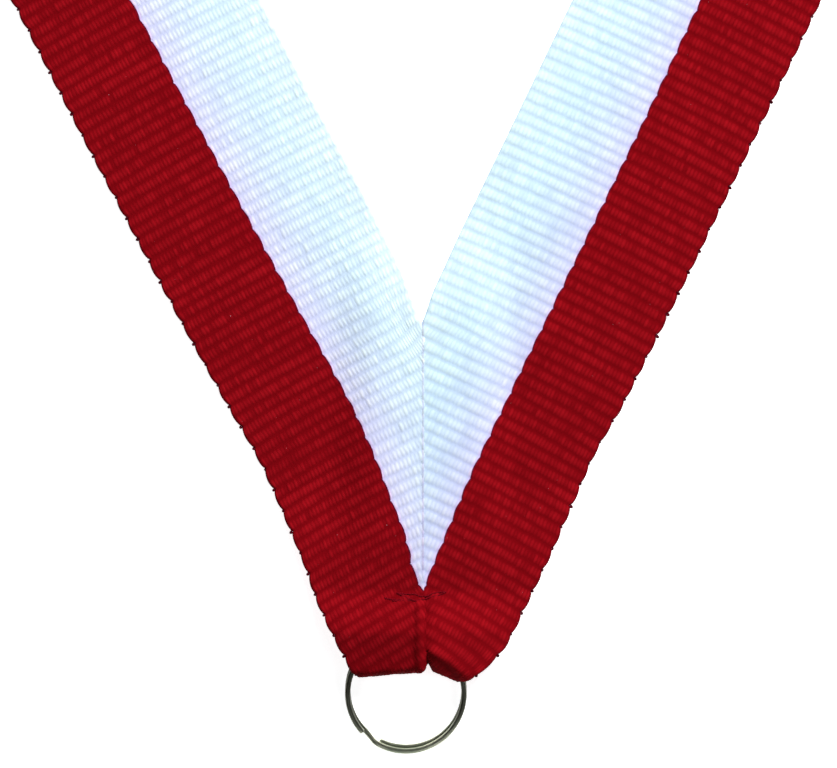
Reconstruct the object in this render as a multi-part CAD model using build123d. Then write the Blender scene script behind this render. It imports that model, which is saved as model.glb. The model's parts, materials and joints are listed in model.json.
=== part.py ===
from build123d import *
import math
import os

# A neck ribbon for a finisher's medal, laid face up on a table. One two-colour grosgrain strip makes a
# closed loop. Its two ends meet in a mitre seam that points the V, and the V's tip is folded back and
# bar-tacked round a small two-turn split ring. Past the V each strand rolls up on to its outer edge, and
# the neck part of the loop stands on that edge as a round arch.
#
# Frame: millimetres, +Z up from the table, +Y from the ring towards the nape, +X to the wearer's left.
# The pieces are drawn with the mitre seam on the plane X = 0 and the fold's edge near Y = 0. Then the whole
# assembly is moved so that the origin is on the table, under the middle of its footprint.

# ---------------------------------------------------------------- driving dimensions
strip_width = 22.2
strip_thickness = 0.45
strip_length = 800.0
half_angle = 27.3
lean = 1.0
outer_edges_meet = (0.9, -10.76)
flat_run = 92.0
roll_run = 92.0
roll_steps = 12

front_height = 0.70
seam_gap = 0.03
throat_y = 34.6
throat_bevel = 1.0
allowance_width = 5.0
allowance_low_y = 9.4
allowance_high_y = 32.5
allowance_bevel = 2.0

bend_y = 8.8
bend_gap = 0.15
crown_height = 2.35
crown_start_y = 4.6
crown_foot_y = 7.2
nose_y = 1.2
bend_radius = 1.0
fold_lap = 1.0
nose_left_x = -6.40
nose_right_x = 2.95
nose_lap = 0.3
flap_end_y = 8.5
flap_end_left_x = -1.9
flap_end_right_x = 0.4

# The cloth's outer edges bulge near the tip, where the seam and the tack gather it. Points from high to low.
left_bulge = ((-16.95, 22.4), (-14.1, 16.3), (-11.8, 10.9), (-10.05, 6.5), (-8.85, 4.0), (-7.75, 2.1),
              (-6.9, 0.9))
right_bulge = ((17.3, 22.4), (14.8, 16.5), (12.2, 10.9), (10.0, 6.5), (8.6, 4.0), (7.6, 2.4), (6.5, 1.3))

ring_radius = 6.04
ring_wire_width = 0.54
ring_wire_height = 0.51
ring_height = 1.10
ring_tilt = 5.0
ring_centre_x = -1.70
ring_centre_y = -1.70
ring_turn_offset = 0.28
ring_table_gap = 0.01
ring_split_angle = 226.0
ring_step_angle = 14.0
ring_end_gap = 3.0
ring_step_sections = 7

thread_radius = 0.10
dip_radius = 0.08
seam_stitch = 2.2
seam_end_inset = 0.5
seam_thread_x = 0.60
tack_holes = ((-3.8, 7.75), (-0.55, 7.45), (-2.5, 8.25), (-1.35, 8.15), (0.35, 7.95), (2.2, 8.35),
              (0.2, 7.65), (-3.0, 7.5))
tack_top_height = 1.22
tack_gap = 0.02

# ---------------------------------------------------------------- derived places
left_angle = half_angle + lean
right_angle = half_angle - lean
front_top = front_height + strip_thickness
half_angle_rad = math.radians(half_angle)
loop_share = 2 * math.cos(half_angle_rad) + math.sin(half_angle_rad) * (math.pi + 2 * half_angle_rad)
arch_distance = strip_length / loop_share
arch_radius = arch_distance * math.sin(half_angle_rad)
straight_run = arch_distance * math.cos(half_angle_rad)
arch_sweep = 180 + 2 * half_angle
meet = Vector(outer_edges_meet[0], outer_edges_meet[1], 0)
up = Vector(0, 0, 1)
seam_low_y = bend_y + bend_gap
ring_tilt_rad = math.radians(ring_tilt)
ring_reach_y = ring_radius * math.cos(ring_tilt_rad) + ring_height / 2 * math.sin(ring_tilt_rad)


def heading(side):
    """Unit vector along a strand, away from the tip. side is -1 for the left strand and 1 for the right."""
    angle = math.radians(left_angle if side < 0 else right_angle)
    return Vector(side * math.sin(angle), math.cos(angle), 0)


def inward(side):
    """Unit vector across a strand, from its outer edge to its inner edge."""
    along = heading(side)
    return Vector(-side * along.Y, side * along.X, 0)


def outer_point(side, run):
    """Point on a strand's outer edge, at a distance from where the two outer edges would meet."""
    return meet + heading(side) * run


def inner_y(side, x):
    """Y of a strand's inner edge at a given X."""
    along = heading(side)
    start = meet + inward(side) * strip_width
    return start.Y + along.Y * (x - start.X) / along.X


def arch_centre():
    """Centre of the arch's circle."""
    return meet + (heading(-1) + heading(1)).normalized() * arch_distance


def footprint_centre():
    """Middle of the assembly's footprint, from the ring's lowest Y to the back of the arch."""
    centre = arch_centre()
    low_y = ring_centre_y - ring_reach_y
    high_y = centre.Y + arch_radius + strip_thickness
    return Vector(centre.X, (low_y + high_y) / 2, 0)


def bulge(side):
    """Outline points of a strand's outer edge near the tip, from high to low."""
    return left_bulge if side < 0 else right_bulge


def edge_above(side, y):
    """Outline points of a strand's outer edge down to a given Y, ending on that Y."""
    points = [point for point in bulge(side) if point[1] > y]
    x0, y0 = points[-1]
    x1, y1 = bulge(side)[len(points)]
    return points + [(x0 + (x1 - x0) * (y0 - y) / (y0 - y1), y)]


def plate(points, low_z, high_z):
    """Flat piece with the given outline in plan."""
    outline = Polyline(*[(x, y) for x, y in points], close=True)
    return extrude(Plane.XY.offset(low_z) * make_face(outline), amount=high_z - low_z)


# ---------------------------------------------------------------- strip: flat strands, turned seam allowances
def flat_strand(side):
    """Front layer of one half of the V, from the bend line to where the strand starts to roll up."""
    seam_x = side * seam_gap
    far_outer = outer_point(side, flat_run)
    far_inner = far_outer + inward(side) * strip_width
    bevel_x = side * throat_bevel
    points = [
        (seam_x, seam_low_y),
        *reversed(edge_above(side, seam_low_y)),
        (far_outer.X, far_outer.Y),
        (far_inner.X, far_inner.Y),
        (bevel_x, inner_y(side, bevel_x)),
        (seam_x, throat_y),
    ]
    return plate(points, front_height, front_top)


def seam_allowance(side):
    """Strip end turned back under its own strand, with the wall that joins the two at the seam."""
    seam_x = side * seam_gap
    far_x = side * allowance_width
    turned = [
        (seam_x, allowance_low_y),
        (far_x, allowance_low_y),
        (far_x, inner_y(side, 0) - allowance_width / math.tan(half_angle_rad)),
        (side * allowance_bevel, allowance_high_y),
        (seam_x, allowance_high_y),
    ]
    wall_x = side * strip_thickness
    wall = [
        (seam_x, allowance_low_y),
        (wall_x, allowance_low_y),
        (wall_x, allowance_high_y),
        (seam_x, allowance_high_y),
    ]
    return plate(turned, 0, strip_thickness) + plate(wall, 0, front_top)


# ---------------------------------------------------------------- strip: roll-up and arch
def strip_section(side, run, turn, height):
    """Cross-section of the strip, turned up about its outer edge. turn is 0 lying flat and 90 on edge."""
    angle = math.radians(turn)
    across = inward(side) * math.cos(angle) + up * math.sin(angle)
    through = up * math.cos(angle) - inward(side) * math.sin(angle)
    corner = outer_point(side, run) + up * height
    far = corner + across * strip_width
    outline = Polyline(
        corner,
        far,
        far + through * strip_thickness,
        corner + through * strip_thickness,
        close=True,
    )
    return make_face(outline)


def rolled_strand(side):
    """Stretch that turns from lying flat to standing on its outer edge, then meets the arch."""
    faces = []
    for step in range(roll_steps + 1):
        share = step / roll_steps
        eased = share * share * (3 - 2 * share)
        faces.append(strip_section(side, flat_run + roll_run * share, 90 * eased, front_height * (1 - eased)))
    rolled = loft(faces, ruled=True)
    upright = loft([faces[-1], strip_section(side, straight_run, 90, 0)], ruled=True)
    return rolled + upright


def neck_arch():
    """Strip standing on its outer edge round a circle that both strands meet without a kink."""
    centre = arch_centre()
    return revolve(
        strip_section(1, straight_run, 90, 0),
        axis=Axis((centre.X, centre.Y, 0), (0, 0, 1)),
        revolution_arc=arch_sweep,
    )


def neck_ribbon():
    """The whole strip above the bend line, as one piece from seam to seam."""
    ribbon = neck_arch()
    for side in (-1, 1):
        ribbon = ribbon + rolled_strand(side) + flat_strand(side) + seam_allowance(side)
    return ribbon


# ---------------------------------------------------------------- strip: folded tip
def fold_layer(line, outline):
    """Layer of strip that follows a side profile, cut to an outline in plan."""
    band = trace(line, line_width=strip_thickness)
    wide = extrude(Plane.YZ * band, amount=2 * strip_width, both=True)
    return wide & plate(outline, -strip_thickness, strip_width)


def ribbon_tip_fold():
    """Tip of the V: the front layer runs over the ring, round the nose of the fold and back under it."""
    half = strip_thickness / 2
    crown_z = crown_height + half
    nose_radius = crown_z / 2 - half / 2
    nose_z = half + nose_radius
    tip_y = nose_y - nose_radius
    diagonal = nose_radius * math.sqrt(0.5)
    front_line = Curve() + [
        FilletPolyline(
            (bend_y - bend_gap, front_height + half),
            (crown_foot_y, front_height + half),
            (crown_start_y, crown_z),
            (nose_y, crown_z),
            radius=bend_radius,
        ),
        ThreePointArc((nose_y, crown_z), (nose_y - diagonal, nose_z + diagonal), (tip_y, nose_z)),
    ]
    back_line = Curve() + [
        ThreePointArc((tip_y, nose_z), (nose_y - diagonal, nose_z - diagonal), (nose_y, half)),
        Line((nose_y, half), (flap_end_y, half)),
    ]
    front_outline = [
        (nose_left_x, -strip_width),
        (nose_left_x, nose_y - nose_lap),
        *reversed([point for point in left_bulge if point[1] < bend_y + fold_lap]),
        edge_above(-1, bend_y + fold_lap)[-1],
        edge_above(1, bend_y + fold_lap)[-1],
        *[point for point in right_bulge if point[1] < bend_y + fold_lap],
        (nose_right_x, nose_y - nose_lap),
        (nose_right_x, -strip_width),
    ]
    back_outline = [
        (nose_left_x, -strip_width),
        (nose_left_x, nose_y),
        (flap_end_left_x, flap_end_y),
        (flap_end_right_x, flap_end_y),
        (nose_right_x, nose_y),
        (nose_right_x, -strip_width),
    ]
    fold = fold_layer(front_line, front_outline) + fold_layer(back_line, back_outline)
    seam = Box(2 * seam_gap, 2 * strip_width, 2 * strip_width)
    return fold - seam


# ---------------------------------------------------------------- threads
def cut_rod(start, end, radius):
    """Straight length of thread with flat ends."""
    start, end = Vector(*start), Vector(*end)
    plane = Plane(origin=start, z_dir=end - start)
    return plane * Cylinder(radius, (end - start).length, align=(Align.CENTER, Align.CENTER, Align.MIN))


def rod(start, end):
    """Straight length of sewing thread with rounded ends."""
    body = cut_rod(start, end, thread_radius)
    return body + Pos(*start) * Sphere(thread_radius) + Pos(*end) * Sphere(thread_radius)


def seam_thread(side):
    """One thread of the seam's lockstitch: it runs in the crook of its own side and dips to the seam."""
    height = (strip_thickness + front_height) / 2
    count = int((allowance_high_y - allowance_low_y - 2 * seam_end_inset) / seam_stitch)
    low_y = allowance_low_y + seam_end_inset
    x = side * seam_thread_x
    thread = rod((x, low_y, height), (x, low_y + count * seam_stitch, height))
    for stitch in range(count + 1):
        y = low_y + stitch * seam_stitch
        thread = thread + cut_rod((x, y, height), (side * seam_gap, y, height), dip_radius)
    return thread


def over_flap(x):
    """Whether a stitch at this X also goes through the folded flap."""
    return flap_end_left_x - thread_radius < x < flap_end_right_x + thread_radius


def tack_bottom_height(x):
    """Height at which the tack's lower thread runs: under the flap, or just under the front layer."""
    return thread_radius if over_flap(x) else front_height - thread_radius


def bar_tack_needle_thread():
    """Upper thread of the bar tack: long flat bars on the face, and the legs that go down through it."""
    thread = None
    for (x0, y0), (x1, y1) in zip(tack_holes, tack_holes[1:]):
        bar = rod((x0, y0, tack_top_height), (x1, y1, tack_top_height))
        thread = bar if thread is None else thread + bar
    for x, y in tack_holes:
        foot = tack_bottom_height(x) + 2 * thread_radius + tack_gap
        thread = thread + rod((x, y, tack_top_height), (x, y, foot))
    return thread


def bar_tack_bobbin_thread():
    """Lower thread of the bar tack: the same bars on the back, rising where they leave the flap."""
    thread = None
    for (x0, y0), (x1, y1) in zip(tack_holes, tack_holes[1:]):
        z0, z1 = tack_bottom_height(x0), tack_bottom_height(x1)
        bar = rod((x0, y0, z0), (x1, y1, z1))
        thread = bar if thread is None else thread + bar
    return thread


# ---------------------------------------------------------------- split ring
def wire_section(angle, height):
    """Rectangular section of the ring's flat wire at an angle round it, centred at a height."""
    middle_radius = ring_radius - ring_wire_width / 2
    radial = Vector(math.cos(math.radians(angle)), math.sin(math.radians(angle)), 0)
    plane = Plane(
        origin=radial * middle_radius + up * height,
        x_dir=radial,
        z_dir=up.cross(radial),
    )
    return plane * Rectangle(ring_wire_width, ring_wire_height)


def split_ring():
    """Two turns of flat wire: a lower one a little off centre, a step up by the split, and an upper one."""
    level = (ring_height - ring_wire_height) / 2
    turn_sweep = 360 - ring_step_angle - ring_end_gap
    step_end = ring_split_angle + ring_step_angle
    axis = Axis((0, 0, 0), (0, 0, 1))
    lower = revolve(wire_section(step_end + ring_end_gap, -level), axis=axis, revolution_arc=turn_sweep)
    upper = revolve(wire_section(step_end, level), axis=axis, revolution_arc=turn_sweep)
    sections = []
    for index in range(ring_step_sections):
        share = index / (ring_step_sections - 1)
        eased = share * share * (3 - 2 * share)
        section = wire_section(ring_split_angle + ring_step_angle * share, level * (2 * eased - 1))
        sections.append(Pos(0, ring_turn_offset * (1 - eased), 0) * section)
    wire = Pos(0, ring_turn_offset, 0) * lower + loft(sections) + upper
    far_radius = ring_radius + ring_turn_offset
    reach_z = far_radius * math.sin(ring_tilt_rad) + ring_height / 2 * math.cos(ring_tilt_rad)
    centre_z = reach_z + ring_table_gap
    return Pos(ring_centre_x, ring_centre_y, centre_z) * Rot(ring_tilt, 0, 0) * wire


# ---------------------------------------------------------------- write one file per piece
nodes = {
    "neck_ribbon": neck_ribbon(),
    "ribbon_tip_fold": ribbon_tip_fold(),
    "seam_needle_thread": seam_thread(-1),
    "seam_bobbin_thread": seam_thread(1),
    "bar_tack_needle_thread": bar_tack_needle_thread(),
    "bar_tack_bobbin_thread": bar_tack_bobbin_thread(),
    "split_ring": split_ring(),
}

to_origin = Pos(*(-footprint_centre()))
os.makedirs("parts", exist_ok=True)
for name, shape in nodes.items():
    export_step(to_origin * shape, f"parts/{name}.step")
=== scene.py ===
import json
import math

import bpy
import numpy as np
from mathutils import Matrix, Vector


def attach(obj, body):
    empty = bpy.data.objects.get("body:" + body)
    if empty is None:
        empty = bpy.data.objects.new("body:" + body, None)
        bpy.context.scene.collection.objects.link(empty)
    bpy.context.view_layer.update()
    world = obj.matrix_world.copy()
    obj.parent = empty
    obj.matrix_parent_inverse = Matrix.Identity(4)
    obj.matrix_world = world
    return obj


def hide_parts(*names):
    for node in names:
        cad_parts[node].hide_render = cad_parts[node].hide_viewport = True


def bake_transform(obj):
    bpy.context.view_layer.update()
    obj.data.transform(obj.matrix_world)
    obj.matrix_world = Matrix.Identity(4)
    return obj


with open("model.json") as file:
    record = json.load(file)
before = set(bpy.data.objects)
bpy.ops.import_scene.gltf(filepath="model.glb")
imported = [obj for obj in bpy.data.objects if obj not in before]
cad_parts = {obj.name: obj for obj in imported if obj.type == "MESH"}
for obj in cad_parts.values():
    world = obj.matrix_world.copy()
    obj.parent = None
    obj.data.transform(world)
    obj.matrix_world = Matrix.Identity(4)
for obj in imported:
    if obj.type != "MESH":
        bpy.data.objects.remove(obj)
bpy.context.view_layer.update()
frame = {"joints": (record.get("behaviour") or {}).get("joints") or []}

# The looks of a medal neck ribbon with its split ring, laid face up on a table.
# Shapes are worked out in millimetres, in design coordinates: the mitre seam is on X = 0, the fold's edge is
# near Y = 0, +Y runs towards the nape and +Z is up from the table. to_frame() turns them into frame metres.

MM = 0.001

# ---------------- the strip, as in the CAD
strip_width = 22.2
strip_thickness = 0.45
strip_length = 800.0
left_angle = 28.3
right_angle = 26.3
half_angle = 27.3
outer_edges_meet = (0.9, -10.76)
flat_run = 92.0
roll_run = 92.0
front_height = 0.70
seam_gap = 0.03
allowance_width = 5.0
allowance_low_y = 9.4
allowance_high_y = 32.5
allowance_turn = 0.3
allowance_above = 3.0
bend_y = 8.8

# ---------------- the weave
rib_count = 678
rib_pitch = strip_length / rib_count
red_width = 10.8
red_yarns = 28
white_yarns = 28
columns_per_yarn = 4
fine_rows_per_rib = 6
coarse_rows_per_rib = 4
coarse_step = 8
core_half = 0.080
weave_relief = 0.145
float_half_length = 0.565
float_flatness = 0.70
float_roundness = 0.8
mean_roundness = 0.64
tallest_float = 1.12
rib_wander = 0.05
yarn_wander = 0.18
relief_unevenness = 0.14
scallop_depth = 0.32
scallop_roundness = 0.6
scallop_unevenness = 0.25
scallop_fade = 0.7
boundary_wave = 0.20
rib_bow = 0.045
edge_rounding = 0.32
thinnest_edge = 0.05
normal_probe = 0.02
fine_spare = 1.5

tau = 2 * math.pi
joints = {joint["name"]: joint for joint in frame["joints"]}
bend_at = Vector(joints["tip_swing"]["pos_m"])
ring_at = Vector(joints["ring_turn"]["pos_m"])
origin = bend_at - Vector((0.0, bend_y, front_height + strip_thickness)) * MM


def to_frame(points):
    """Design millimetres to frame metres."""
    return np.asarray(points, float) * MM + np.array(origin)


def ease(share):
    """Smooth step from 0 to 1."""
    share = np.clip(share, 0.0, 1.0)
    return share * share * (3 - 2 * share)


def through_points(stations, at):
    """Smooth curve through a few (place, value) stations, level past its two ends, that never overshoots."""
    places = np.array([s[0] for s in stations], float)
    values = np.array([s[1] for s in stations], float)
    order = np.argsort(places)
    places, values = places[order], values[order]
    rise = np.diff(values) / np.diff(places)
    slopes = np.zeros(len(places))
    before, after = rise[:-1], rise[1:]
    same = before * after > 0
    slopes[1:-1] = np.where(same, 2 * before * after / np.where(same, before + after, 1.0), 0.0)
    at = np.clip(at, places[0], places[-1])
    k = np.clip(np.searchsorted(places, at) - 1, 0, len(places) - 2)
    gap = places[k + 1] - places[k]
    t = (at - places[k]) / gap
    return (
        values[k] * (1 + 2 * t) * (1 - t) ** 2
        + values[k + 1] * t * t * (3 - 2 * t)
        + gap * slopes[k] * t * (1 - t) ** 2
        - gap * slopes[k + 1] * t * t * (1 - t)
    )


def ripple(at, seed, wavelengths):
    """Gentle irregularity: a few sines of random phase, between about -1 and 1."""
    random = np.random.default_rng(seed)
    total = np.zeros_like(np.asarray(at, float))
    for wavelength in wavelengths:
        total = total + np.sin(tau * (at / wavelength + random.random()))
    return total / len(wavelengths)


# ---------------- plan of the strip
# Where the sewn cloth leaves the straight strip: how far its outer edge, colour boundary and inner edge stand
# from their straight lines, as (Y, shift in X), for the left strand (-1) and the right one (1). The inner
# edge has a shift of its own only above the seam, and is tucked in more sharply at the throat.
outer_shift = {
    -1: ((85, 0), (67, 0), (52, -0.3), (37, -0.4), (27, -0.25), (22, -0.02), (17.4, -0.35), (14.4, -0.65),
         (10.5, -1.15), (7.5, -1.75), (4.5, -2.0), (-1.1, -2.15), (-10.3, -0.5)),
    1: ((85, 0), (67, 0.3), (52, 0.5), (37, 0.6), (27, 0.5), (22, 0.1), (17.4, 0.35), (10.5, 0.66),
        (5.2, 0.68), (3.0, 0.6), (1.0, -0.15), (-0.2, -0.9), (-1.6, -2.0), (-10.3, -0.4)),
}
boundary_shift = {
    -1: ((85, 0), (67, -0.35), (52, -0.35), (37, -0.22), (27.4, 0), (22.4, -0.39), (17.4, -1.15),
         (14.4, -1.55), (12.4, -2.1), (10.4, -2.7), (8.5, -2.85)),
    1: ((85, 0), (67, 0.3), (52, 0.6), (37, 0.62), (22.4, 0.64), (17.4, 0.9), (14.4, 1.15), (10.4, 1.45),
        (8.5, 1.63)),
}
inner_shift = {
    -1: ((85, 0), (67, -0.25), (55, -0.4), (43, -0.38), (34, -0.1), (27, 0)),
    1: ((85, 0), (67, 0.2), (55, 0.35), (45, 0.45), (40, 0.62), (38, 0.7), (36.3, 1.0), (35.4, 1.15),
        (34.5, 1.2), (33, 0.9), (31, 0.6), (27, 0.6)),
}
throat_tuck = {
    -1: ((50, 0), (45, -0.15), (41.5, -0.3), (39.3, -0.6), (37.3, -1.1), (35.6, -1.4), (34.3, -1.5),
         (31.0, -1.0), (27, 0)),
    1: ((46, 0), (27, 0)),
}
tuck_start = 17.5
inner_free_y = 26.0
inner_free_run = 12.0


def strand_angle(side):
    """Lean of a strand from the seam, in radians. side is -1 for the left strand and 1 for the right."""
    return math.radians(left_angle if side < 0 else right_angle)


def sewn_place(side, run, across):
    """(run, across) on the straight strip to the same two where the cloth really lies."""
    angle = strand_angle(side)
    bowed = run + rib_bow * across * (1 - across / strip_width)
    y = outer_edges_meet[1] + math.cos(angle) * bowed + math.sin(angle) * across
    outer = through_points(outer_shift[side], y)
    boundary = through_points(boundary_shift[side], y)
    in_red = np.clip(across / red_width, 0, 1)
    in_white = np.clip((across - red_width) / (strip_width - red_width), 0, 1)
    above_seam = ease((y - inner_free_y) / inner_free_run)
    inner = boundary + (through_points(inner_shift[side], y) - boundary) * above_seam
    shift = outer + (boundary - outer) * in_red + (inner - boundary) * in_white
    near_edge = ease((across - tuck_start) / (strip_width - tuck_start))
    shift = shift + through_points(throat_tuck[side], y) * near_edge
    return bowed + side * math.sin(angle) * shift, across - side * math.cos(angle) * shift


# ---------------- side profile of the folded tip
flat_mid = front_height + strip_thickness / 2
profile_columns = 97
profile_rows = 420
profile_half_width = 13.0
profile_length = 21.0

# Across the fold, as (X, value): the top of the cloth's middle at the ramp's end and at the crest, the Y of
# the crest, the Y of the fold's edge, and how sharply the cloth turns at the nose.
ramp_top = ((-12, 1.6), (-9.5, 2.0), (-7.6, 2.46), (-6, 2.55), (-3, 2.62), (-0.2, 2.66), (0.4, 2.55),
            (2.5, 2.42), (4.6, 2.3), (7.5, 1.8), (10, 1.3), (12, 1.2))
crest_top = ((-12, 1.3), (-9.5, 1.8), (-7.6, 2.32), (-6, 2.36), (-3, 2.44), (-0.4, 2.60), (0.4, 2.74),
             (2.5, 2.80), (4.6, 2.6), (7.5, 1.9), (10, 1.3), (12, 1.2))
crest_y = ((-12, 1.0), (-6.5, 0.75), (-0.2, 1.15), (0.0, 1.3), (0.25, 2.5), (1.3, 2.3), (2.6, 1.65),
           (3.8, 0.7), (6, 0.4), (12, 0.4))
edge_y = ((-12, 0.0), (-6.3, 0.06), (-3.2, 0.33), (0.0, 0.63), (0.35, 1.2), (0.6, 1.33), (1.0, 0.62),
          (2.4, 0.06), (3.8, -0.5), (6, -0.7), (12, -0.7))
nose_crease = ((-12, 1.0), (-0.2, 1.0), (0.2, 1.7), (3.2, 1.7), (4.4, 1.1), (12, 1.0))
ramp_foot_y = 8.5
ramp_end_y = 4.3
ramp_softness = 0.5
ramp_samples = 60
curve_samples = 40
under_turn_share = 0.6
under_turn_least = 0.9
profile_probe = 0.05


def profile_at(x):
    """Side profile of the cloth's middle at one X, as evenly spaced (Y, Z) along the cloth from the bend."""
    top = float(through_points(ramp_top, x))
    crest = float(through_points(crest_top, x))
    turn_y = float(through_points(crest_y, x))
    end_y = float(through_points(edge_y, x))
    crease = float(through_points(nose_crease, x))
    low = strip_thickness / 2
    line = [(bend_y, flat_mid)]
    for share in np.linspace(0, 1, ramp_samples):
        y = ramp_foot_y + (ramp_end_y - ramp_foot_y) * share
        rise = share + (float(ease(share)) - share) * ramp_softness
        line.append((y, flat_mid + (top - flat_mid) * rise))
    for share in np.linspace(0, 1, curve_samples)[1:]:
        y = ramp_end_y + (turn_y - ramp_end_y) * share
        line.append((y, top + (crest - top) * share))
    reach = turn_y - end_y
    nose_mid, nose_half = (crest + low) / 2, (crest - low) / 2
    for angle in np.linspace(0, math.pi / 2, curve_samples)[1:]:
        out, up = math.sin(angle) ** crease, max(math.cos(angle), 0.0) ** crease
        line.append((turn_y - reach * out, nose_mid + nose_half * up))
    back = max(reach * under_turn_share, under_turn_least)
    for angle in np.linspace(math.pi / 2, math.pi, curve_samples)[1:]:
        line.append((end_y + back - back * math.sin(angle), nose_mid + nose_half * math.cos(angle)))
    line.append((end_y + back + profile_length, low))
    line = np.array(line)
    gone = np.concatenate([[0], np.cumsum(np.hypot(*np.diff(line, axis=0).T))])
    at = np.linspace(0, profile_length, profile_rows)
    return np.stack([np.interp(at, gone, line[:, 0]), np.interp(at, gone, line[:, 1])], axis=1)


profile_x = np.linspace(-profile_half_width, profile_half_width, profile_columns)
profiles = np.array([profile_at(x) for x in profile_x])


def on_profile(x, gone):
    """(Y, Z) of the cloth's middle at an X, a distance along the cloth from the bend."""
    column = np.clip((x + profile_half_width) / (2 * profile_half_width), 0, 1) * (profile_columns - 1)
    row = np.clip(gone / profile_length, 0, 1) * (profile_rows - 1)
    i = np.minimum(column.astype(int), profile_columns - 2)
    j = np.minimum(row.astype(int), profile_rows - 2)
    a = (column - i)[..., None]
    b = (row - j)[..., None]
    low = profiles[i, j] * (1 - a) + profiles[i + 1, j] * a
    high = profiles[i, j + 1] * (1 - a) + profiles[i + 1, j + 1] * a
    found = low * (1 - b) + high * b
    return found[..., 0], found[..., 1]


# ---------------- the cloth's middle surface
# The end of each half turns under just past the seam plane, so that the two halves close it together.
fold_radius = 0.05
fold_x = -0.10
lip_width = 0.50
raised_half_width = 4.6
raised_side_run = 5.0
raised_end_y = 35.0
raised_end_run = 12.0
raised_tip_run = 11.0
left_ridge, left_ridge_x, left_ridge_width = 0.30, -0.30, 0.42
right_dip, right_dip_width = 0.40, 0.8
ridge_high_y = 6.2
ridge_low_y = -0.8
ridge_end_run = 1.6


def lying_height(x, y):
    """Height of the cloth's underside: on the table, but raised over the seam allowances and at the tip."""
    beside = ease((np.abs(x) - raised_half_width) / raised_side_run)
    over_seam = (1 - beside) * (1 - ease((y - raised_end_y) / raised_end_run))
    at_tip = 1 - ease((y - bend_y) / raised_tip_run)
    return front_height * (1 - (1 - over_seam) * (1 - at_tip))


def has_allowance(y):
    """Whether the strip end is turned back under its strand at a given Y, past a mere lip."""
    return (y > allowance_low_y) & (y < allowance_high_y + allowance_above)


def allowance_limit(y):
    """How far the turned strip end runs back under its strand, past the seam, at a given Y."""
    return np.where(has_allowance(y), allowance_turn + allowance_width, lip_width)


def seam_relief(side, x, y):
    """Along the seam below the tack, the left half stands a little proud and the right half dips."""
    low = (1 - ease((y - ridge_high_y) / ridge_end_run)) * ease((y - ridge_low_y) / ridge_end_run)
    if side < 0:
        return left_ridge * low * np.exp(-(((x - left_ridge_x) / left_ridge_width) ** 2))
    return -right_dip * low * np.exp(-((x / right_dip_width) ** 2))


def middle_surface(side, run, across):
    """Points of the strip's middle surface, each with a mark.

    The mark is 0 on plain cloth, 1 at the allowance, and 2 or 3 where either is cut away.
    """
    angle = strand_angle(side)
    run, across = sewn_place(side, run, across)
    sin, cos = math.sin(angle), math.cos(angle)
    turn = math.pi / 2 * ease((run - flat_run) / roll_run)
    half = strip_thickness / 2
    level = across * np.cos(turn) - half * np.sin(turn)
    x = outer_edges_meet[0] + side * sin * run - side * cos * level
    y = outer_edges_meet[1] + cos * run + sin * level
    z = across * np.sin(turn) + half * np.cos(turn)

    past = fold_x - side * x
    folded = (past > 0) & (run < flat_run)
    limit = allowance_limit(y)
    cut = np.where(folded & (past > limit), 2, 0) + has_allowance(y)
    past = np.where(folded, np.minimum(past, limit), 0.0)

    height = lying_height(x, y)
    drop_total = np.maximum(height, 2 * fold_radius)
    quarter = math.pi / 2 * fold_radius
    wall = drop_total - 2 * fold_radius
    first = np.clip(past, 0, quarter) / fold_radius
    middle = np.clip(past - quarter, 0, wall)
    second = np.clip(past - quarter - wall, 0, quarter) / fold_radius
    rest = np.maximum(past - 2 * quarter - wall, 0)
    from_seam = fold_x - fold_radius * np.sin(first) + fold_radius * (1 - np.cos(second)) + rest
    drop = fold_radius * (1 - np.cos(first)) + middle + fold_radius * np.sin(second)
    x = np.where(folded, side * from_seam, x)

    gone = bend_y - y
    at_tip = (gone > 0) & (run < flat_run)
    tip_y, tip_z = on_profile(x, np.maximum(gone, 0))
    ahead_y, ahead_z = on_profile(x, np.maximum(gone, 0) + profile_probe)
    along_y, along_z = ahead_y - tip_y, ahead_z - tip_z
    length = np.maximum(np.hypot(along_y, along_z), 1e-9)
    normal_y = np.where(at_tip, along_z / length, 0.0)
    normal_z = np.where(at_tip, -along_y / length, 1.0)
    lift = seam_relief(side, x, y) * (run < flat_run) - drop
    flat_z = z + height * (run < flat_run)
    y = np.where(at_tip, tip_y, y) + normal_y * lift
    z = np.where(at_tip, tip_z, flat_z) + normal_z * lift
    return np.stack([x, y, z], axis=-1), cut


def arch_surface(place, across):
    """The neck part, standing on its outer edge round a circle, and how long each straight strand is.

    place is measured along the strip. The strands touch the circle, so the strip's length sets its radius.
    """
    angle = math.radians(half_angle)
    share = 2 * math.cos(angle) + math.sin(angle) * (math.pi + 2 * angle)
    distance = strip_length / share
    radius = distance * math.sin(angle)
    straight = distance * math.cos(angle)
    lean = math.radians((left_angle - right_angle) / 2)
    centre_x = outer_edges_meet[0] - distance * math.sin(lean)
    centre_y = outer_edges_meet[1] + distance * math.cos(lean)
    start = math.pi + angle + lean
    turned = start - (place - straight) / radius
    reach = radius + strip_thickness / 2
    x = centre_x + reach * np.cos(turned)
    y = centre_y + reach * np.sin(turned)
    return np.stack([x, y, across + 0 * x], axis=-1), straight


def strip_surface(place, across):
    """Middle surface of the whole strip. place runs from the left end, along the outer edge, to the right."""
    left, left_cut = middle_surface(-1, place, across)
    right, right_cut = middle_surface(1, strip_length - place, across)
    arch, straight = arch_surface(place, across)
    on_left = place < straight
    on_right = place > strip_length - straight
    points = np.where(on_left[..., None], left, np.where(on_right[..., None], right, arch))
    return points, np.where(on_left, left_cut, np.where(on_right, right_cut, 0))


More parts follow.
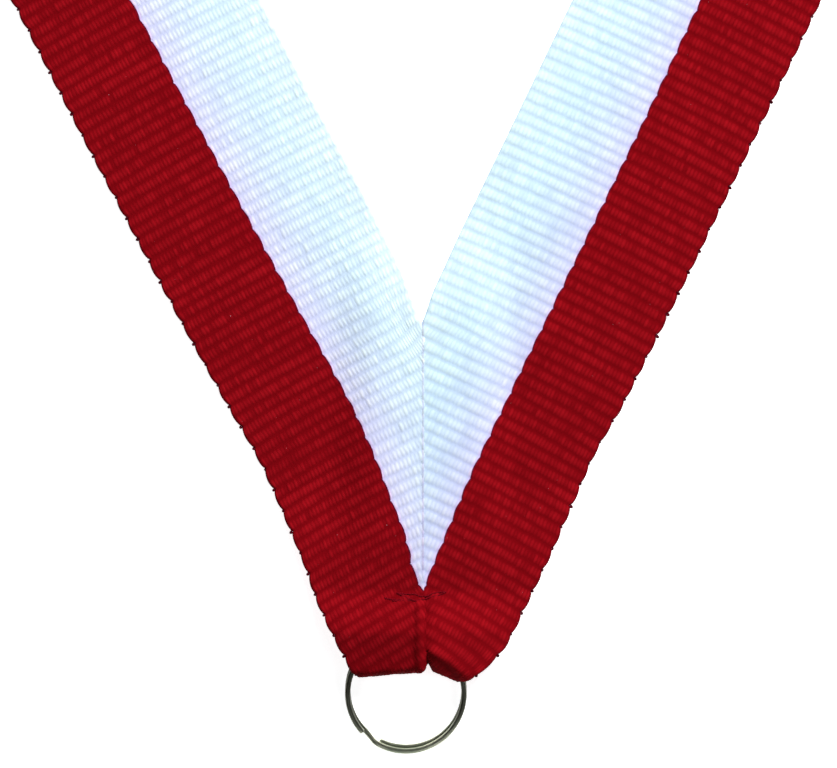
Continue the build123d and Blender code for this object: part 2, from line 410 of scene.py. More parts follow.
# ---------------- the woven relief
float_heights = np.random.default_rng(3).normal(1.0, 0.08, (rib_count + 3, red_yarns + white_yarns + 4))


def warp_float(away, yarn, number, coarse):
    """One warp yarn passing over a rib, from 0 to 1. away is the distance from the rib's crest in ribs."""
    length = np.sqrt(np.clip(1 - (away / float_half_length) ** 2, 0, 1))
    if coarse:
        return length * (float_flatness + (1 - float_flatness) * mean_roundness)
    place = yarn + np.mod(number, 2) / 2
    roundness = np.abs(np.cos(math.pi * place)) ** float_roundness
    own = float_heights[number.astype(int) + 1, np.round(place).astype(int) + 1]
    across_yarn = float_flatness + (1 - float_flatness) * roundness
    return length * across_yarn * np.minimum(own, tallest_float) / tallest_float


def woven_relief(place, across, coarse):
    """How far the weave stands up from its core, from 0 in the hollows to 1 on the crests.

    Odd yarns pass over the odd ribs and even yarns over the even ones, and their ends interlock between ribs.
    """
    slanting = rib_wander * ripple(across + 2.2 * place, 5, (9.1, 23.0))
    wander = slanting + rib_wander * ripple(place, 6, (4.3, 10.9, 31.0))
    ribs = (place + wander) / rib_pitch
    number = np.floor(ribs)
    away = ribs - number - 0.5
    yarn = yarn_number(across) + yarn_wander * ripple(place, 7, (2.9, 13.0))
    own = warp_float(away, yarn, number, coarse)
    other = warp_float(1 - np.abs(away), yarn, number + 1, coarse)
    uneven = 1 - relief_unevenness * (1 + ripple(place + 0.3 * across, 8, (2.1, 5.7, 12.3))) / 2
    return np.maximum(own, other) * uneven


def yarn_number(across):
    """Warp yarns counted from the outer edge. The red ones are finer than the white ones."""
    red = across / red_width * red_yarns
    white = red_yarns + (across - red_width) / (strip_width - red_width) * white_yarns
    return np.where(across < red_width, red, white)


def scalloped(place, across):
    """Across, moved at the outer edge so that it bulges once every two ribs."""
    bulge = np.abs(np.sin(math.pi * place / (2 * rib_pitch))) ** scallop_roundness
    uneven = 1 + scallop_unevenness * ripple(place, 9, (5.3, 11.0, 23.0))
    depth = scallop_depth * (1 - bulge) * uneven
    return across + depth * np.exp(-across / scallop_fade)


def across_stations():
    """Where the mesh's columns lie, from the outer edge to the inner edge."""
    red = np.linspace(0, red_width, red_yarns * columns_per_yarn + 1)
    white = np.linspace(red_width, strip_width, white_yarns * columns_per_yarn + 1)
    return np.concatenate([red, white[1:]])


def strip_block(places, acrosses, coarse=False):
    """Front and back points of a stretch of strip, its marks, and its (across, place, relief) values."""
    place, across = np.meshgrid(places, acrosses, indexing="ij")
    shaped = scalloped(place, across)
    middle, cut = strip_surface(place, shaped)
    ahead, _ = strip_surface(place + normal_probe, shaped)
    aside, _ = strip_surface(place, shaped + normal_probe)
    normal = np.cross(aside - middle, ahead - middle)
    size = np.linalg.norm(normal, axis=-1, keepdims=True)
    normal = normal / np.maximum(size, 1e-12)
    relief = woven_relief(place, across, coarse)
    edge = np.minimum(across, strip_width - across)
    from_edge = np.clip(edge / edge_rounding, 0, 1)
    round_off = np.sqrt(np.clip(1 - (1 - from_edge) ** 2, thinnest_edge, 1))
    offset = (core_half + weave_relief * relief) * round_off
    front = middle + normal * offset[..., None]
    back = middle - normal * offset[..., None]
    return front, back, cut, np.stack([across, place, relief], axis=-1)


class MeshParts:
    """Collects the points, faces and point values of one mesh, in design millimetres."""

    def __init__(self):
        self.points, self.values, self.quads, self.ngons, self.count = [], [], [], [], 0

    def add_points(self, points, values):
        """Adds an array of points with their values, and gives their numbers in the same layout."""
        numbers = np.arange(self.count, self.count + points[..., 0].size).reshape(points.shape[:-1])
        self.points.append(points.reshape(-1, 3))
        self.values.append(values.reshape(-1, 3))
        self.count += points[..., 0].size
        return numbers

    def add_quads(self, a, b, c, d):
        self.quads.append(np.stack([a, b, c, d], axis=-1).reshape(-1, 4))

    def add_rod(self, points, values, flipped=False):
        """A closed rod through rings of points. flipped turns its faces the other way."""
        n = self.add_points(points, values)
        wrapped = np.concatenate([n, n[:, :1]], axis=1)
        a, b, c, d = wrapped[:-1, :-1], wrapped[:-1, 1:], wrapped[1:, 1:], wrapped[1:, :-1]
        self.add_quads(a, *((d, c, b) if flipped else (b, c, d)))
        step = 1 if flipped else -1
        self.ngons.append(list(n[0][::step]))
        self.ngons.append(list(n[-1][::-step]))

    def build(self, name):
        """A mesh object. Points that no face uses are left out."""
        points = np.concatenate(self.points)
        values = np.concatenate(self.values)
        quads = np.concatenate(self.quads)
        loops = np.concatenate([quads.ravel(), *self.ngons])
        sizes = np.concatenate([np.full(len(quads), 4), [len(n) for n in self.ngons]])
        used, loops = np.unique(loops, return_inverse=True)
        points, values = to_frame(points[used]), values[used]
        mesh = bpy.data.meshes.new(name)
        mesh.vertices.add(len(points))
        mesh.vertices.foreach_set("co", points.astype(np.float32).ravel())
        mesh.loops.add(len(loops))
        mesh.loops.foreach_set("vertex_index", loops.astype(np.int32))
        mesh.polygons.add(len(sizes))
        starts = np.concatenate([[0], np.cumsum(sizes)[:-1]])
        mesh.polygons.foreach_set("loop_start", starts.astype(np.int32))
        mesh.polygons.foreach_set("use_smooth", np.ones(len(sizes), bool))
        mesh.update(calc_edges=True)
        attribute = mesh.attributes.new("strip_mm", "FLOAT_VECTOR", "POINT")
        attribute.data.foreach_set("vector", values.astype(np.float32).ravel())
        mesh.validate()
        thing = bpy.data.objects.new(name, mesh)
        bpy.context.scene.collection.objects.link(thing)
        return thing


def kept_cells(mark):
    """Cells of a grid that aren't cut away. One across the allowance's low or high end must be whole."""
    corners = np.stack([mark[:-1, :-1], mark[1:, :-1], mark[:-1, 1:], mark[1:, 1:]])
    cut = corners >= 2
    same = np.ptp(corners % 2, axis=0) == 0
    return ~cut.any(axis=0) | (same & ~cut.all(axis=0))


def add_sheets(parts, block, joins):
    """Both faces of a block of strip, and the rim round its kept cells, but none at the end rows in joins."""
    front, back, mark, values = block
    keep = kept_cells(mark)
    f = parts.add_points(front, values)
    b = parts.add_points(back, values)
    i, j = np.nonzero(keep)
    parts.add_quads(f[i, j], f[i, j + 1], f[i + 1, j + 1], f[i + 1, j])
    parts.add_quads(b[i, j], b[i + 1, j], b[i + 1, j + 1], b[i, j + 1])
    padded = np.pad(keep, 1)
    for di, dj, first, last in ((-1, 0, (0, 0), (0, 1)), (1, 0, (1, 1), (1, 0)),
                                (0, -1, (1, 0), (0, 0)), (0, 1, (0, 1), (1, 1))):
        open_side = keep & ~padded[1 + di:1 + di + keep.shape[0], 1 + dj:1 + dj + keep.shape[1]]
        if di in joins:
            open_side[0 if di < 0 else -1, :] = False
        i, j = np.nonzero(open_side)
        p, q = (i + first[0], j + first[1]), (i + last[0], j + last[1])
        parts.add_quads(f[q], f[p], b[p], b[q])
    return f, b


def join_rows(parts, fine, coarse, fine_is_first, faces_up):
    """Faces between a row of fine columns and a row of coarse ones."""
    for k in range(len(coarse) - 1):
        run_of_fine = list(fine[coarse_step * k:coarse_step * (k + 1) + 1])
        ring = run_of_fine + [coarse[k + 1], coarse[k]]
        if fine_is_first != faces_up:
            ring.reverse()
        parts.ngons.append(ring)


def rows_between(low, high, rows_per_rib):
    """Evenly spaced places along the strip, whole ribs apart at both ends."""
    first, last = round(low / rib_pitch), round(high / rib_pitch)
    return np.arange(first * rows_per_rib, last * rows_per_rib + 1) * rib_pitch / rows_per_rib


def make_ribbon():
    """The whole ribbon as one closed strip: woven finely along the V and more coarsely round the neck."""
    fine_end = rib_pitch * round((flat_run + fine_spare) / rib_pitch)
    columns = across_stations()
    coarse_columns = columns[::coarse_step]
    parts = MeshParts()

    left = strip_block(rows_between(0, fine_end, fine_rows_per_rib), columns)
    right = strip_block(rows_between(strip_length - fine_end, strip_length, fine_rows_per_rib), columns)
    neck_places = rows_between(fine_end, strip_length - fine_end, coarse_rows_per_rib)[1:-1]
    neck = strip_block(neck_places, coarse_columns, coarse=True)

    left_f, left_b = add_sheets(parts, left, joins=(1,))
    neck_f, neck_b = add_sheets(parts, neck, joins=(-1, 1))
    right_f, right_b = add_sheets(parts, right, joins=(-1,))
    for fine_f, fine_b, coarse_f, coarse_b, fine_first in (
        (left_f[-1], left_b[-1], neck_f[0], neck_b[0], True),
        (right_f[0], right_b[0], neck_f[-1], neck_b[-1], False),
    ):
        join_rows(parts, fine_f, coarse_f, fine_first, True)
        join_rows(parts, fine_b, coarse_b, fine_first, False)
        for k, up in ((0, True), (-1, False)):
            ring = [fine_f[k], fine_b[k], coarse_b[k], coarse_f[k]]
            if up != fine_first:
                ring.reverse()
            parts.ngons.append(ring)
    return parts.build("grosgrain_ribbon")


# ---------------- small round things: loops, threads, wire
def normals_along(path):
    """Two unit normals at each point of a path, carried along it without twisting."""
    tangent = np.gradient(path, axis=0)
    tangent /= np.maximum(np.linalg.norm(tangent, axis=1, keepdims=True), 1e-12)
    start = np.array([0.0, 0.0, 1.0]) if abs(tangent[0][2]) < 0.9 else np.array([1.0, 0.0, 0.0])
    first = []
    for direction in tangent:
        start = start - direction * (start @ direction)
        start = start / np.linalg.norm(start)
        first.append(start)
    first = np.array(first)
    return first, np.cross(tangent, first)


def distances_along(path):
    """How far along a path each of its points is."""
    return np.concatenate([[0], np.cumsum(np.linalg.norm(np.diff(path, axis=0), axis=1))])


def add_tube(parts, path, section):
    """Sweeps a section, an array of (a, b) offsets, along a path. Its values are turns round and mm along."""
    first, second = normals_along(path)
    a, b = section[None, :, :1], section[None, :, 1:]
    points = path[:, None, :] + a * first[:, None, :] + b * second[:, None, :]
    around = np.linspace(0, 1, len(section), endpoint=False)
    values = np.stack([
        np.broadcast_to(around[None, :], points.shape[:2]),
        np.broadcast_to(distances_along(path)[:, None], points.shape[:2]),
        np.zeros(points.shape[:2]),
    ], axis=-1)
    parts.add_rod(points, values)


def circle_section(radius, sides):
    """Round section."""
    angles = tau * np.arange(sides) / sides
    return np.stack([radius * np.cos(angles), radius * np.sin(angles)], axis=1)


span_samples = 12
path_slackness = 0.35
thread_radius = 0.10
thread_plies = 3
thread_lay = 0.62
thread_step = 0.055
ply_share = 0.52
ply_sides = 7


def smooth_path(points, step):
    """Evenly spaced points on a rounded path through the given ones."""
    points = np.asarray(points, float)
    padded = np.concatenate([[2 * points[0] - points[1]], points, [2 * points[-1] - points[-2]]])
    found = []
    for a, b, c, d in zip(padded, padded[1:], padded[2:], padded[3:]):
        m0, m1 = (c - a) * path_slackness, (d - b) * path_slackness
        for t in np.linspace(0, 1, span_samples, endpoint=False):
            found.append(
                (2 * t**3 - 3 * t**2 + 1) * b + (t**3 - 2 * t**2 + t) * m0
                + (-2 * t**3 + 3 * t**2) * c + (t**3 - t**2) * m1
            )
    found.append(points[-1])
    found = np.array(found)
    gone = distances_along(found)
    at = np.linspace(0, gone[-1], int(gone[-1] / step))
    return np.stack([np.interp(at, gone, found[:, k]) for k in range(3)], axis=1)


def make_thread(name, points):
    """Sewing thread: three plies laid round each other along a path."""
    parts = MeshParts()
    path = smooth_path(points, thread_step)
    first, second = normals_along(path)
    gone = np.arange(len(path)) * thread_step
    ply_radius = thread_radius * ply_share
    for ply in range(thread_plies):
        angle = tau * (gone / thread_lay + ply / thread_plies)
        away = np.cos(angle)[:, None] * first + np.sin(angle)[:, None] * second
        line = path + (thread_radius - ply_radius) * away
        add_tube(parts, line, circle_section(ply_radius, ply_sides))
    return parts.build(name)


# ---------------- weft loops of the selvage
loop_pitch = 2 * rib_pitch
loop_reach = 0.24
loop_half_width = 0.09
loop_thickness = 0.10
loop_root = 0.05
loop_overrun = 0.5
loop_points = 9
loop_sides = 6
loops_left_out = 4
loop_probe = 0.05


def make_weft_loops():
    """The dark weft turns in the hollows of the scalloped outer edge, but not at the strip's ends."""
    random = np.random.default_rng(21)
    parts = MeshParts()
    for index in range(loops_left_out, int(strip_length / loop_pitch) - loops_left_out + 1):
        place = index * loop_pitch + random.normal(0, 0.05)
        inset = scallop_depth * random.uniform(0.7, 1.0)
        place, inset = np.array([place]), np.array([inset])
        middle, _ = strip_surface(place, inset)
        ahead, _ = strip_surface(place + loop_probe, inset)
        aside, _ = strip_surface(place, inset + loop_probe)
        along = (ahead - middle)[0]
        inward = (aside - middle)[0]
        along /= np.linalg.norm(along)
        inward /= np.linalg.norm(inward)
        up = np.cross(inward, along)
        reach = loop_reach * random.uniform(0.6, 1.35)
        half = loop_half_width * random.uniform(0.8, 1.2)
        tilt = random.uniform(-0.06, 0.06)
        path = np.array([
            middle[0] + along * half * math.cos(angle) - inward * (reach * math.sin(angle) - loop_root)
            + up * tilt * math.cos(angle)
            for angle in np.linspace(-loop_overrun, math.pi + loop_overrun, loop_points)
        ])
        path[:, 2] = np.maximum(path[:, 2], loop_thickness)
        add_tube(parts, path, circle_section(loop_thickness, loop_sides))
    return parts.build("selvage_weft_loops")


# ---------------- sewing
seam_stitch = 2.2
seam_thread_x = 0.60
seam_start = 0.5
seam_dip_run = 0.35
seam_hole_x = seam_gap + 0.12
tack_places = ((-3.8, 7.75), (-0.55, 7.45), (-2.5, 8.25), (-1.35, 8.15), (0.35, 7.95), (2.2, 8.35),
               (0.2, 7.65), (-3.0, 7.5))
tack_sink = -0.04
tack_leg_half, tack_foot_half = 0.03, 0.02
tack_foot_gap = 0.02
tack_wander = 0.12
cloth_top_relief = 0.7
flap_end_left_x = -1.9
flap_end_right_x = 0.4


def seam_thread_points(side):
    """A seam thread's path: along the crook of its own side, dipping to the seam at each stitch."""
    height = (strip_thickness + front_height) / 2
    count = int((allowance_high_y - allowance_low_y - 2 * seam_start) / seam_stitch)
    points = []
    for stitch in range(count + 1):
        y = allowance_low_y + seam_start + stitch * seam_stitch
        if stitch:
            points.append((side * seam_thread_x, y - seam_dip_run, height))
        points.append((side * seam_hole_x, y, height))
        if stitch < count:
            points.append((side * seam_thread_x, y + seam_dip_run, height))
    return points


def tack_bottom_height(x):
    """Where the tack's lower thread runs: under the flap, or just under the front layer."""
    over_flap = flap_end_left_x - thread_radius < x < flap_end_right_x + thread_radius
    return thread_radius if over_flap else front_height - thread_radius


def cloth_top(x, y):
    """Height of the cloth's face at the tack."""
    _, z = on_profile(np.array([x]), np.array([bend_y - y]))
    return float(z[0]) + core_half + cloth_top_relief * weave_relief


def tack_needle_points():
    """Upper thread: slack bars over the face, with a leg down each hole and up again."""
    random = np.random.default_rng(12)
    points = []
    for index, (x, y) in enumerate(tack_places):
        foot = tack_bottom_height(x) + 2 * thread_radius + tack_foot_gap
        top = cloth_top(x, y)
        if index:
            for share in (0.3, 0.7):
                at_x = last[0] * (1 - share) + x * share
                at_y = last[1] * (1 - share) + y * share + random.uniform(-tack_wander, tack_wander)
                points.append((at_x, at_y, cloth_top(at_x, at_y) + tack_sink))
        points += [
            (x - tack_leg_half, y, top), (x - tack_foot_half, y, foot),
            (x + tack_foot_half, y, foot), (x + tack_leg_half, y, top),
        ]
        last = (x, y)
    return points


def tack_bobbin_points():
    """Lower thread: the same bars on the back."""
    return [(x, y, tack_bottom_height(x)) for x, y in tack_places]


# ---------------- split ring
ring_radius = 6.04
ring_wire_width = 0.54
ring_wire_height = 0.51
ring_height = 1.10
ring_split_angle = 226.0
ring_step_angle = 14.0
ring_end_gap = 3.0
ring_turn_offset = 0.28
ring_tilt = 5.0
ring_begin = ring_split_angle + ring_step_angle + ring_end_gap
wire_round = 0.24
wire_step_angle = 1.5
wire_end_share = 0.86


def wire_outline():
    """Flat wire's section with rounded edges, as (outward, up) offsets."""
    points = []
    for corner, (a, b) in enumerate(((1, 1), (-1, 1), (-1, -1), (1, -1))):
        for angle in np.linspace(0, math.pi / 2, 5):
            turn = angle + corner * math.pi / 2
            points.append((
                a * (ring_wire_width / 2 - wire_round) + wire_round * math.cos(turn),
                b * (ring_wire_height / 2 - wire_round) + wire_round * math.sin(turn),
            ))
    return np.array(points)


def make_ring():
    """Two turns of flat wire, the lower a little off centre, with a step beside the split.

    Its values are the wire's angle from the split, in degrees, and the height within the ring.
    """
    level = (ring_height - ring_wire_height) / 2
    sweep = 360 - ring_step_angle - ring_end_gap
    angles = np.arange(0, 2 * sweep + ring_step_angle + wire_step_angle / 3, wire_step_angle)
    stepped = ease((angles - sweep) / ring_step_angle)
    lift = level * (2 * stepped - 1)
    theta = np.radians(ring_begin + angles)
    tilt = math.radians(ring_tilt)
    outline = wire_outline()
    is_end = (angles == angles[0]) | (angles == angles[-1])
    rounding = np.where(is_end[:, None], wire_end_share, 1.0)
    radius = ring_radius - ring_wire_width / 2 + outline[None, :, 0] * rounding
    x = radius * np.cos(theta)[:, None]
    y = radius * np.sin(theta)[:, None] + ring_turn_offset * (1 - stepped[:, None])
    z = lift[:, None] + outline[None, :, 1] * rounding
    centre = (np.array(ring_at) - np.array(origin)) / MM
    cos, sin = math.cos(tilt), math.sin(tilt)
    turned = np.stack([x, y * cos - z * sin, y * sin + z * cos], axis=-1)
    values = np.stack([np.broadcast_to(angles[:, None], x.shape), 0 * x, z], axis=-1)
    parts = MeshParts()
    parts.add_rod(turned + centre, values, flipped=True)
    return parts.build("nickel_split_ring")


# ---------------- materials
class Shader:
    """A procedural material and short ways to add nodes to it."""

    def __init__(self, name):
        self.material = bpy.data.materials.new(name)
        self.material.use_nodes = True
        self.tree = self.material.node_tree
        self.surface = self.tree.nodes["Principled BSDF"]

    def node(self, kind):
        return self.tree.nodes.new("ShaderNode" + kind)

    def put(self, value, socket):
        """Links a node's output to a socket, or sets the socket to a number or a colour."""
        if hasattr(value, "links"):
            self.tree.links.new(value, socket)
        elif socket.type == "RGBA":
            socket.default_value = (*value, 1.0)
        else:
            socket.default_value = value

    def math(self, operation, *values, clamp=False):
        node = self.node("Math")
        node.operation = operation
        node.use_clamp = clamp
        for value, socket in zip(values, node.inputs):
            self.put(value, socket)
        return node.outputs[0]

    def times(self, first, second):
        return self.math("MULTIPLY", first, second)

    def inverse(self, value):
        return self.math("SUBTRACT", 1.0, value)

    def mix(self, share, first, second, how="MIX"):
        node = self.node("Mix")
        node.data_type = "RGBA"
        node.blend_type = how
        self.put(share, node.inputs[0])
        self.put(first, node.inputs[6])
        self.put(second, node.inputs[7])
        return node.outputs[2]

    def tinted(self, colour, tint):
        return self.mix(1.0, colour, tint, "MULTIPLY")

    def point_values(self):
        """The three values that the mesh's points carry."""
        node = self.node("Attribute")
        node.attribute_name = "strip_mm"
        parts = self.node("SeparateXYZ")
        self.tree.links.new(node.outputs["Vector"], parts.inputs[0])
        return parts.outputs[0], parts.outputs[1], parts.outputs[2]

    def position(self, scale):
        """The shaded point in its piece's own metres, times a scale."""
        node = self.node("TexCoord")
        scaled = self.node("VectorMath")
        scaled.operation = "MULTIPLY"
        scaled.inputs[1].default_value = (scale, scale, scale)
        self.tree.links.new(node.outputs["Object"], scaled.inputs[0])
        return scaled.outputs[0]

    def design_place(self):
        """X and Y of the shaded point in design mm."""
        parts = self.node("SeparateXYZ")
        self.tree.links.new(self.position(1 / MM), parts.inputs[0])
        x = self.math("SUBTRACT", parts.outputs[0], origin.x / MM)
        y = self.math("SUBTRACT", parts.outputs[1], origin.y / MM)
        return x, y

    def vector(self, x, y, z=0.0):
        node = self.node("CombineXYZ")
        for value, socket in zip((x, y, z), node.inputs):
            self.put(value, socket)
        return node.outputs[0]

    def noise(self, at, detail):
        node = self.node("TexNoise")
        self.tree.links.new(at, node.inputs["Vector"])
        node.inputs["Scale"].default_value = 1.0
        node.inputs["Detail"].default_value = detail
        return node.outputs[0]

    def grain(self, x, y, x_scale, y_scale, detail):
        """Noise over two values, stretched by a scale for each."""
        return self.noise(self.vector(self.times(x, x_scale), self.times(y, y_scale)), detail)

    def ramp(self, value, stops):
        node = self.node("ValToRGB")
        ramp = node.color_ramp
        while len(ramp.elements) < len(stops):
            ramp.elements.new(0.5)
        for element, (place, colour) in zip(ramp.elements, stops):
            element.position = place
            element.color = (*colour, 1.0)
        self.put(value, node.inputs[0])
        return node.outputs[0]

    def smooth(self, value, low, high):
        """0 below low, 1 above high, smooth between."""
        node = self.node("MapRange")
        node.interpolation_type = "SMOOTHSTEP"
        self.put(value, node.inputs[0])
        node.inputs[1].default_value = low
        node.inputs[2].default_value = high
        return node.outputs[0]

    def bump(self, height, distance, strength):
        node = self.node("Bump")
        node.inputs["Strength"].default_value = strength
        node.inputs["Distance"].default_value = distance
        self.tree.links.new(height, node.inputs["Height"])
        self.tree.links.new(node.outputs[0], self.surface.inputs["Normal"])


red_cloth = (0.266, 0.0033, 0.0075)
red_painted_sheen = (0.302, 0.0046, 0.0092)
red_hollow_painted_shade = (0.52, 0.36, 0.42)
white_hollow_painted_shade = (0.68, 0.72, 0.92)
right_white_painted_shade = (0.92, 0.955, 0.985)
seam_painted_shade = (0.90, 0.80, 0.88)
lint_colour = (0.75, 0.55, 0.62)
painted_edge_shade = (0.19, 0.002, 0.007)
boundary_line = (0.14, 0.006, 0.03)
boundary_pink = (0.78, 0.52, 0.74)
white_stops = (
    (0.0, (0.73, 0.70, 0.82)),
    (0.30, (0.70, 0.79, 0.83)),
    (0.60, (0.71, 0.87, 0.85)),
    (1.0, (0.76, 0.91, 0.85)),
)

# Where one look fades into the next. In mm past the colour boundary:
colour_change = (-0.03, 0.03)
boundary_line_fade = (-0.20, -0.06)
pink_fade = (0.04, 0.34)
# In mm from the outer edge, along the strip, from the seam, and in Y:
painted_edge_shade_fade = (0.06, 0.30)
painted_tip_shade_fade = (12.0, 24.0)
right_painted_shade_fade = (strip_length / 2 - 60, strip_length / 2 + 60)
seam_fade = (0.03, 0.16)
seam_low_fade = (allowance_low_y + 0.4, allowance_low_y + 1.4)
# In relief, and in noise:
painted_sheen_fade = (0.50, 0.95)
lint_fade = (0.80, 0.86)

pink_strength = 0.6
boundary_fray = 0.12
hollow_painted_shade_strength, hollow_painted_shade_most = 1.9, 0.85
painted_tip_shade_strength = 0.18
lint_strength = 0.55
fibre_bump = 0.00002


def colour_boundary(m, across, along, ribs):
    """How far across the strip the red ends: wavy from rib to rib and a little frayed."""
    wave = m.math("ABSOLUTE", m.math("SINE", m.times(ribs, math.pi / 2)))
    bulge = m.times(m.math("POWER", wave, scallop_roundness), boundary_wave)
    line = m.math("ADD", bulge, red_width - boundary_wave / 2)
    fray = m.math("SUBTRACT", m.grain(across, along, 1.5, 1.1, 2.0), 0.5)
    return m.math("ADD", line, m.times(fray, boundary_fray))


def red_stripe(m, across, beyond, relief):
    """Red, with painted sheen on the crests, painted shade along the outer edge's rolled rim, and a dark line
    along the boundary.
    """
    # Painted sheen: the crests of the weave get a lighter red.
    red = m.mix(m.smooth(relief, *painted_sheen_fade), red_cloth, red_painted_sheen)
    # Painted shade: a dark red along the outer edge, where the rim rolls away from the light.
    red = m.mix(m.inverse(m.smooth(across, *painted_edge_shade_fade)), red, painted_edge_shade)
    return m.mix(m.smooth(beyond, *boundary_line_fade), red, boundary_line)


def white_stripe(m, across, along, beyond):
    """White, bluer towards the red, with a pink bleed beside it, and painted shade making the right strand a
    little duller.
    """
    share = m.math("DIVIDE", m.math("SUBTRACT", across, red_width), strip_width - red_width, clamp=True)
    pink = m.times(m.inverse(m.smooth(beyond, *pink_fade)), pink_strength)
    white = m.mix(pink, m.ramp(share, white_stops), boundary_pink)
    # Painted shade: the right strand's white is made a little duller.
    return m.mix(m.smooth(along, *right_painted_shade_fade), white, m.tinted(white, right_white_painted_shade))


def seam_shade(m, colour):
    """Painted shade: the faint line where the two halves meet, above the tack."""
    x, y = m.design_place()
    on_seam = m.inverse(m.smooth(m.math("ABSOLUTE", x), *seam_fade))
    on_seam = m.times(on_seam, m.smooth(y, *seam_low_fade))
    return m.mix(on_seam, colour, m.tinted(colour, seam_painted_shade))


def ribbon_material():
    """Grosgrain: its two stripes, with painted shade in the hollows, uneven dye, fibres, painted shade on the
    left tip and some lint.
    """
    m = Shader("grosgrain")
    across, along, relief = m.point_values()
    ribs = m.times(along, 1 / rib_pitch)
    beyond = m.math("SUBTRACT", across, colour_boundary(m, across, along, ribs))
    is_white = m.smooth(beyond, *colour_change)
    base = m.mix(is_white, red_stripe(m, across, beyond, relief), white_stripe(m, across, along, beyond))
    # Painted shade in the weave's hollows: the lower the relief, the darker and more tinted the colour.
    depth = m.math("MINIMUM", m.times(m.inverse(relief), hollow_painted_shade_strength), hollow_painted_shade_most)
    base = m.mix(depth, base, m.tinted(base, m.mix(is_white, red_hollow_painted_shade, white_hollow_painted_shade)))
    base = seam_shade(m, base)

    dye = m.grain(across, along, 0.9, 0.16, 4.0)
    fibre = m.grain(across, along, 14.0, 2.2, 3.0)
    rib = m.grain(across, m.math("FLOOR", ribs), 0.25, 1.0, 2.0)
    tone = m.math("MULTIPLY_ADD", dye, 0.16, 0.92)
    tone = m.times(tone, m.math("MULTIPLY_ADD", fibre, 0.24, 0.88))
    tone = m.times(tone, m.math("MULTIPLY_ADD", rib, 0.20, 0.90))
    # Painted shade: the left strand's cloth is darkened near the tip.
    painted_tip_shade = m.inverse(m.smooth(along, *painted_tip_shade_fade))
    tone = m.times(tone, m.inverse(m.times(painted_tip_shade, painted_tip_shade_strength)))
    colour = m.tinted(base, m.vector(tone, tone, tone))
    lint = m.smooth(m.grain(across, along, 4.2, 4.2, 1.0), *lint_fade)
    colour = m.mix(m.times(lint, lint_strength), colour, lint_colour)
    m.put(colour, m.surface.inputs["Base Color"])
    m.put(m.math("MULTIPLY_ADD", fibre, 0.2, 0.58), m.surface.inputs["Roughness"])
    m.surface.inputs["Specular IOR Level"].default_value = 0.02
    m.bump(fibre, fibre_bump, 0.5)
    return m.material


def thread_material(name, colour, dark):
    """Spun thread: fine fibres along each ply."""
    m = Shader(name)
    around, along, _ = m.point_values()
    fibre = m.grain(around, along, 9.0, 5.0, 4.0)
    m.put(m.mix(m.smooth(fibre, 0.3, 0.7), dark, colour), m.surface.inputs["Base Color"])
    m.put(m.math("MULTIPLY_ADD", fibre, 0.25, 0.5), m.surface.inputs["Roughness"])
    m.surface.inputs["Specular IOR Level"].default_value = 0.08
    m.bump(fibre, fibre_bump, 0.6)
    return m.material


def ring_material():
    """Nickel-plated steel: drawn lines, olive plating in darker patches, and painted reflection: a much
    brighter copy of the plating on the low side.
    """
    m = Shader("nickel_plate")
    angle, _, height = m.point_values()
    drawn = m.grain(angle, height, 0.05, 22.0, 4.0)
    cloud = m.noise(m.position(420.0), 5.0)
    patchy = m.smooth(cloud, 0.35, 0.7)
    darker_plating = m.mix(patchy, (0.17, 0.175, 0.14), (0.09, 0.095, 0.07))
    # Painted reflection: the ring's low side gets a much brighter plating colour.
    painted_reflection_plating = m.mix(patchy, (0.66, 0.69, 0.53), (0.42, 0.47, 0.35))
    towards_y = m.math("SINE", m.math("MULTIPLY_ADD", angle, math.pi / 180, math.radians(ring_begin)))
    painted_reflection_side = m.smooth(m.times(towards_y, -1.0), 0.25, 0.95)
    m.put(m.mix(painted_reflection_side, darker_plating, painted_reflection_plating), m.surface.inputs["Base Color"])
    m.surface.inputs["Metallic"].default_value = 1.0
    m.put(m.math("ADD", m.times(drawn, 0.10), m.math("MULTIPLY_ADD", cloud, 0.12, 0.36)),
          m.surface.inputs["Roughness"])
    m.bump(drawn, 0.00001, 0.5)
    return m.material


def floor_material():
    """White sweep that stays nearly pure white."""
    m = Shader("white_ground")
    tone = m.math("MULTIPLY_ADD", m.noise(m.position(6.0), 2.0), 0.01, 0.90)
    m.put(m.vector(tone, tone, tone), m.surface.inputs["Base Color"])
    m.surface.inputs["Roughness"].default_value = 0.9
    m.surface.inputs["Specular IOR Level"].default_value = 0.0
    m.surface.inputs["Emission Color"].default_value = (1.0, 1.0, 1.0, 1.0)
    m.surface.inputs["Emission Strength"].default_value = 0.80
    return m.material


ribbon = make_ribbon()
ribbon.data.materials.append(ribbon_material())
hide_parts("neck_ribbon", "ribbon_tip_fold")
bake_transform(ribbon)

loops = make_weft_loops()
loops.data.materials.append(thread_material("weft_yarn", (0.10, 0.004, 0.012), (0.03, 0.002, 0.005)))
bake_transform(loops)

sewing = thread_material("sewing_thread", (0.19, 0.003, 0.008), (0.09, 0.001, 0.004))
for name, points, node, body in (
    ("seam_thread_left", seam_thread_points(-1), "seam_needle_thread", "ribbon"),
    ("seam_thread_right", seam_thread_points(1), "seam_bobbin_thread", "ribbon"),
    ("tack_thread_face", tack_needle_points(), "bar_tack_needle_thread", "tip"),
    ("tack_thread_back", tack_bobbin_points(), "bar_tack_bobbin_thread", "tip"),
):
    thread = make_thread(name, points)
    thread.data.materials.append(sewing)
    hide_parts(node)
    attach(thread, body)

ring = make_ring()
ring.data.materials.append(ring_material())
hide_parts("split_ring")
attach(ring, "ring")

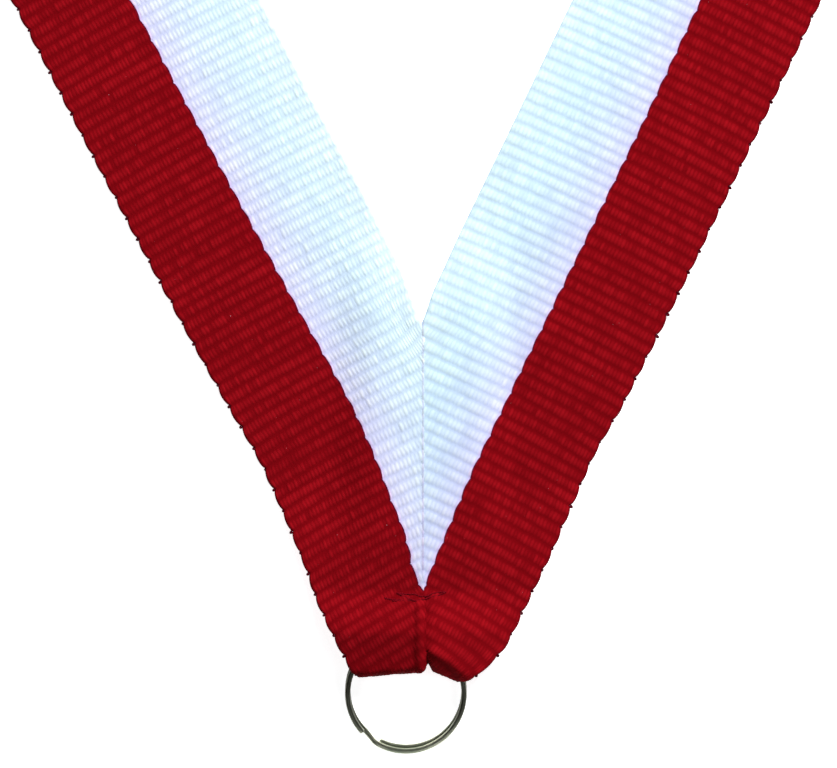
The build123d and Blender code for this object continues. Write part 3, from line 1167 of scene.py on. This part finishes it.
# ---------------- ground, light and camera
ground_size = 6.0
ground_gap = 0.00002
bpy.ops.mesh.primitive_plane_add(size=ground_size, location=(0, 0, -ground_gap))
ground = bpy.context.object
ground.name = "ground"
ground.data.materials.append(floor_material())

view_middle = Vector((-0.45, 28.98, 0.0)) * MM + origin
view_middle.z = 0.0
plain_white = (1.0, 1.0, 1.0)
cool_white = (0.96, 0.98, 1.0)


def soft_light(name, turn, elevation, distance, size, power, colour=plain_white, glossy=False, diffuse=True):
    """Square soft box aimed at the middle of the view.

    turn is in degrees clockwise from +Y, seen from above, and elevation in degrees above the table.
    """
    data = bpy.data.lights.new(name, "AREA")
    data.shape = "SQUARE"
    data.size = size
    data.energy = power
    data.color = colour
    light = bpy.data.objects.new(name, data)
    bpy.context.scene.collection.objects.link(light)
    a, e = math.radians(turn), math.radians(elevation)
    towards = Vector((math.sin(a) * math.cos(e), math.cos(a) * math.cos(e), math.sin(e)))
    light.location = view_middle + towards * distance
    light.rotation_mode = "QUATERNION"
    light.rotation_quaternion = towards.to_track_quat("Z", "Y")
    light.visible_glossy = glossy
    light.visible_diffuse = diffuse


soft_light("key", 28, 32, 0.65, 0.22, 8.2)
soft_light("ring_sheen_far", 0, 50, 1.0, 0.60, 0.75, glossy=True, diffuse=False)
soft_light("ring_sheen_near", 170, 50, 1.0, 0.80, 1.70, glossy=True, diffuse=False)
soft_light("fill_right", 105, 48, 1.0, 0.60, 1.5, cool_white)
soft_light("fill_left", -75, 48, 1.0, 0.60, 1.5, cool_white)
soft_light("fill_low", 195, 48, 1.0, 0.60, 0.8, cool_white)

world = bpy.data.worlds.new("dim_studio")
world.use_nodes = True
world.node_tree.nodes["Background"].inputs["Color"].default_value = (0.9, 0.95, 1.0, 1.0)
world.node_tree.nodes["Background"].inputs["Strength"].default_value = 0.02
bpy.context.scene.world = world
bpy.context.scene.view_settings.view_transform = "Standard"
bpy.context.scene.view_settings.look = "None"

camera_height = 0.280
field_across = 0.0834
sensor_width = 36.0
camera_data = bpy.data.cameras.new("camera")
camera_data.type = "PERSP"
camera_data.sensor_fit = "HORIZONTAL"
camera_data.sensor_width = sensor_width
camera_data.lens = sensor_width * camera_height / field_across
camera_data.clip_start = 0.01
camera_data.clip_end = 20.0
camera = bpy.data.objects.new("camera", camera_data)
bpy.context.scene.collection.objects.link(camera)
camera.location = view_middle + Vector((0, 0, camera_height))
bpy.context.scene.camera = camera
